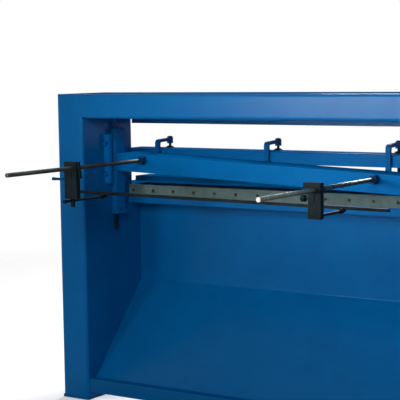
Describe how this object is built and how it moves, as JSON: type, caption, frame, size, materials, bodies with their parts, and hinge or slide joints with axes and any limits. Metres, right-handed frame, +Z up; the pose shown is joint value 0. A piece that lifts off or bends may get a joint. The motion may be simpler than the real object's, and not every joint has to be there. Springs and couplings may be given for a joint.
{
  "type": "manual guillotine shear",
  "caption": "Manual guillotine shear: blue sheet-steel portal and table, raked ram with blade, sprung hold-down under hooked straps, rod back gauge behind, offcut chute and treadle.",
  "frame": {"origin": "centre of the bounding box at floor level", "axes": "+Z up, the operator stands on the -Y side, the gauge rods stand out on the +Y side, +X is the operator's right"},
  "size_m": [1.622, 1.359, 1.23],
  "materials": {
    "side_housing_left": "semi-gloss blue paint",
    "side_housing_right": "semi-gloss blue paint",
    "foot_plate_left_rear": "semi-gloss blue paint",
    "foot_plate_left_front": "semi-gloss blue paint",
    "foot_plate_right_rear": "semi-gloss blue paint",
    "foot_plate_right_front": "semi-gloss blue paint",
    "top_beam": "semi-gloss blue paint",
    "table_top": "semi-gloss blue paint",
    "cross_beam": "semi-gloss blue paint",
    "table_apron": "semi-gloss blue paint",
    "lower_blade": "ground tool steel, greyed",
    "chute": "semi-gloss blue paint",
    "base_tie_rear": "semi-gloss blue paint",
    "base_tie_front": "semi-gloss blue paint",
    "treadle_arm_left": "semi-gloss blue paint",
    "treadle_arm_right": "semi-gloss blue paint",
    "treadle_bar": "semi-gloss blue paint",
    "gib_left": "semi-gloss blue paint",
    "gib_right": "semi-gloss blue paint",
    "guide_bar_left": "semi-gloss blue paint",
    "guide_bar_right": "semi-gloss blue paint",
    "ram_beam": "semi-gloss blue paint",
    "upper_blade": "ground tool steel, greyed",
    "slide_left": "semi-gloss blue paint",
    "slide_right": "semi-gloss blue paint",
    "stop_bolt_left": "black oxide",
    "stop_bolt_right": "black oxide",
    "front_bar": "semi-gloss blue paint",
    "hook_strap_left": "semi-gloss blue paint",
    "hook_strap_centre": "semi-gloss blue paint",
    "hook_strap_right": "semi-gloss blue paint",
    "gauge_rod_left": "bright drawn bar",
    "gauge_rod_right": "bright drawn bar",
    "rod_nut_left": "black oxide",
    "rod_nut_right": "black oxide",
    "hold_down_foot": "semi-gloss blue paint",
    "plunger_left": "black oxide",
    "plunger_centre": "black oxide",
    "plunger_right": "black oxide",
    "clamp_left": "black oxide",
    "clamp_right": "black oxide",
    "gauge_arm_left": "black oxide",
    "gauge_arm_right": "black oxide",
    "gauge_bar": "black oxide",
    "lock_screw_left": "black oxide",
    "lock_screw_right": "black oxide"
  },
  "bodies": {
    "frame": {"side_housing_left": "side_housing_left", "side_housing_right": "side_housing_right", "foot_plate_left_rear": "foot_plate_left_rear", "foot_plate_left_front": "foot_plate_left_front", "foot_plate_right_rear": "foot_plate_right_rear", "foot_plate_right_front": "foot_plate_right_front", "top_beam": "top_beam", "table_top": "table_top", "cross_beam": "cross_beam", "table_apron": "table_apron", "lower_blade": "lower_blade", "chute": "chute", "base_tie_rear": "base_tie_rear", "base_tie_front": "base_tie_front", "treadle_arm_left": "treadle_arm_left", "treadle_arm_right": "treadle_arm_right", "treadle_bar": "treadle_bar", "gib_left": "gib_left", "gib_right": "gib_right", "guide_bar_left": "guide_bar_left", "guide_bar_right": "guide_bar_right"},
    "ram": {"ram_beam": "ram_beam", "upper_blade": "upper_blade", "slide_left": "slide_left", "slide_right": "slide_right", "stop_bolt_left": "stop_bolt_left", "stop_bolt_right": "stop_bolt_right", "front_bar": "front_bar", "hook_strap_left": "hook_strap_left", "hook_strap_centre": "hook_strap_centre", "hook_strap_right": "hook_strap_right", "gauge_rod_left": "gauge_rod_left", "gauge_rod_right": "gauge_rod_right", "rod_nut_left": "rod_nut_left", "rod_nut_right": "rod_nut_right"},
    "hold_down": {"hold_down_foot": "hold_down_foot", "plunger_left": "plunger_left", "plunger_centre": "plunger_centre", "plunger_right": "plunger_right"},
    "back_gauge": {"clamp_left": "clamp_left", "clamp_right": "clamp_right", "gauge_arm_left": "gauge_arm_left", "gauge_arm_right": "gauge_arm_right", "gauge_bar": "gauge_bar"},
    "lock_left": {"lock_screw_left": "lock_screw_left"},
    "lock_right": {"lock_screw_right": "lock_screw_right"}
  },
  "joints": [
    {"name": "ram_slide", "type": "slide", "parent": "frame", "child": "ram", "axis": [0, 0, -1], "range_m": [0, 0.066], "stiffness_N_per_m": 3000, "springref_m": -0.32},
    {"name": "hold_down_slide", "type": "slide", "parent": "frame", "child": "hold_down", "axis": [0, 0, -1], "range_m": [0, 0.012]},
    {"name": "back_gauge_slide", "type": "slide", "parent": "ram", "child": "back_gauge", "axis": [0, 1, 0], "range_m": [-0.12, 0.34]},
    {"name": "lock_screw_left_turn", "type": "hinge", "parent": "back_gauge", "child": "lock_left", "pos_m": [-0.481, 0.3115, 0.88949], "axis": [1, 0, 0], "range_deg": [0, 270]},
    {"name": "lock_screw_right_turn", "type": "hinge", "parent": "back_gauge", "child": "lock_right", "pos_m": [0.557, 0.3115, 0.91778], "axis": [1, 0, 0], "range_deg": [0, 270]}
  ],
  "couplings": [
    {"joint": "hold_down_slide", "follows": "ram_slide", "ratio": 0.1818}
  ]
}
